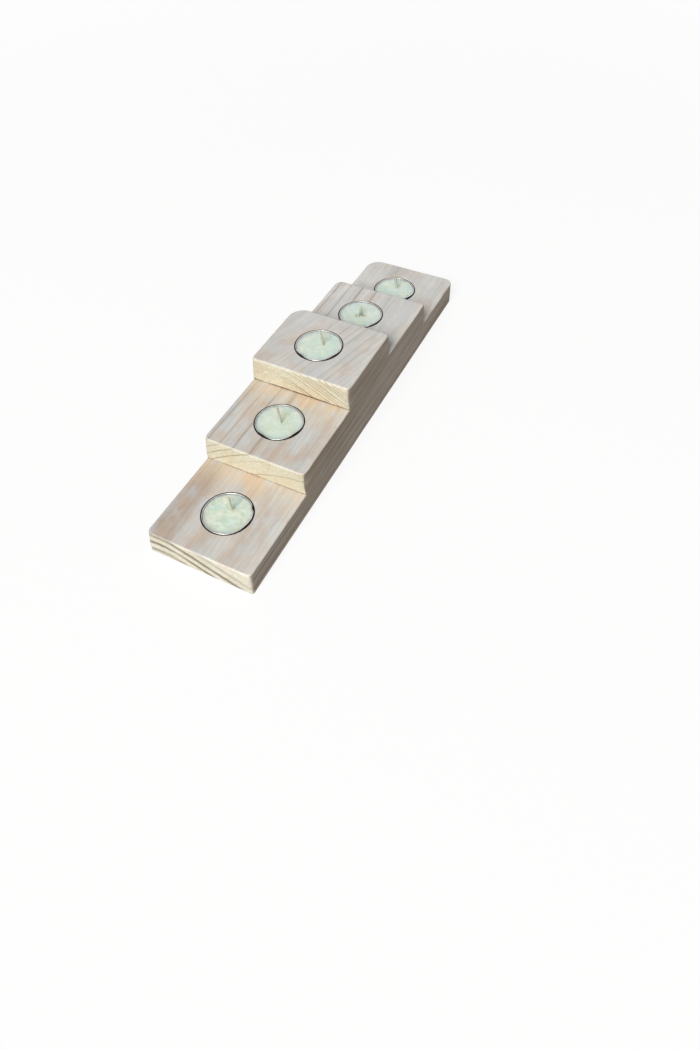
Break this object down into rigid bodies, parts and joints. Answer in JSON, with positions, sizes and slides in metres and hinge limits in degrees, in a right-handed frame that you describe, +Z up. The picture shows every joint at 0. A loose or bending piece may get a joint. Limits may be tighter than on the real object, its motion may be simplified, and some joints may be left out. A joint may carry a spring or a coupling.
{
  "type": "advent candle holder",
  "caption": "Stepped wooden candle holder of glued pine boards, with tealights in foil cups that lift out of round bores along its steps.",
  "frame": {"origin": "centre of the base board's underside", "axes": "+X along the boards, away from the end nearest the viewer in the picture; +Y across the boards; +Z up"},
  "size_m": [0.38, 0.088, 0.0808],
  "materials": {
    "pine": "sanded pine with a thin white wash, matt",
    "glue": "dried wood glue",
    "cup_foil": "bright pressed foil with a rolled rim",
    "wax": "poured wax, satin and a little translucent",
    "wick_cotton": "waxed cotton braid",
    "sustainer_steel": "tinned sheet"
  },
  "bodies": {
    "stand": {"base_board": "pine", "middle_board": "pine", "top_block": "pine", "glue_film_lower": "glue", "glue_film_upper": "glue"},
    "cup_1": {"candle_cup_1": "cup_foil"},
    "candle_1": {"wax_1": "wax", "wick_1": "wick_cotton", "wick_sustainer_1": "sustainer_steel"},
    "cup_2": {"candle_cup_2": "cup_foil"},
    "candle_2": {"wax_2": "wax", "wick_2": "wick_cotton", "wick_sustainer_2": "sustainer_steel"},
    "cup_3": {"candle_cup_3": "cup_foil"},
    "candle_3": {"wax_3": "wax", "wick_3": "wick_cotton", "wick_sustainer_3": "sustainer_steel"},
    "cup_4": {"candle_cup_4": "cup_foil"},
    "candle_4": {"wax_4": "wax", "wick_4": "wick_cotton", "wick_sustainer_4": "sustainer_steel"},
    "cup_5": {"candle_cup_5": "cup_foil"},
    "candle_5": {"wax_5": "wax", "wick_5": "wick_cotton", "wick_sustainer_5": "sustainer_steel"}
  },
  "joints": [
    {"name": "cup_1_lift", "type": "slide", "parent": "stand", "child": "cup_1", "axis": [0, 0, 1], "range_m": [0, 0.03]},
    {"name": "candle_1_lift", "type": "slide", "parent": "cup_1", "child": "candle_1", "axis": [0, 0, 1], "range_m": [0, 0.02]},
    {"name": "cup_2_lift", "type": "slide", "parent": "stand", "child": "cup_2", "axis": [0, 0, 1], "range_m": [0, 0.03]},
    {"name": "candle_2_lift", "type": "slide", "parent": "cup_2", "child": "candle_2", "axis": [0, 0, 1], "range_m": [0, 0.02]},
    {"name": "cup_3_lift", "type": "slide", "parent": "stand", "child": "cup_3", "axis": [0, 0, 1], "range_m": [0, 0.03]},
    {"name": "candle_3_lift", "type": "slide", "parent": "cup_3", "child": "candle_3", "axis": [0, 0, 1], "range_m": [0, 0.02]},
    {"name": "cup_4_lift", "type": "slide", "parent": "stand", "child": "cup_4", "axis": [0, 0, 1], "range_m": [0, 0.03]},
    {"name": "candle_4_lift", "type": "slide", "parent": "cup_4", "child": "candle_4", "axis": [0, 0, 1], "range_m": [0, 0.02]},
    {"name": "cup_5_lift", "type": "slide", "parent": "stand", "child": "cup_5", "axis": [0, 0, 1], "range_m": [0, 0.03]},
    {"name": "candle_5_lift", "type": "slide", "parent": "cup_5", "child": "candle_5", "axis": [0, 0, 1], "range_m": [0, 0.02]}
  ]
}
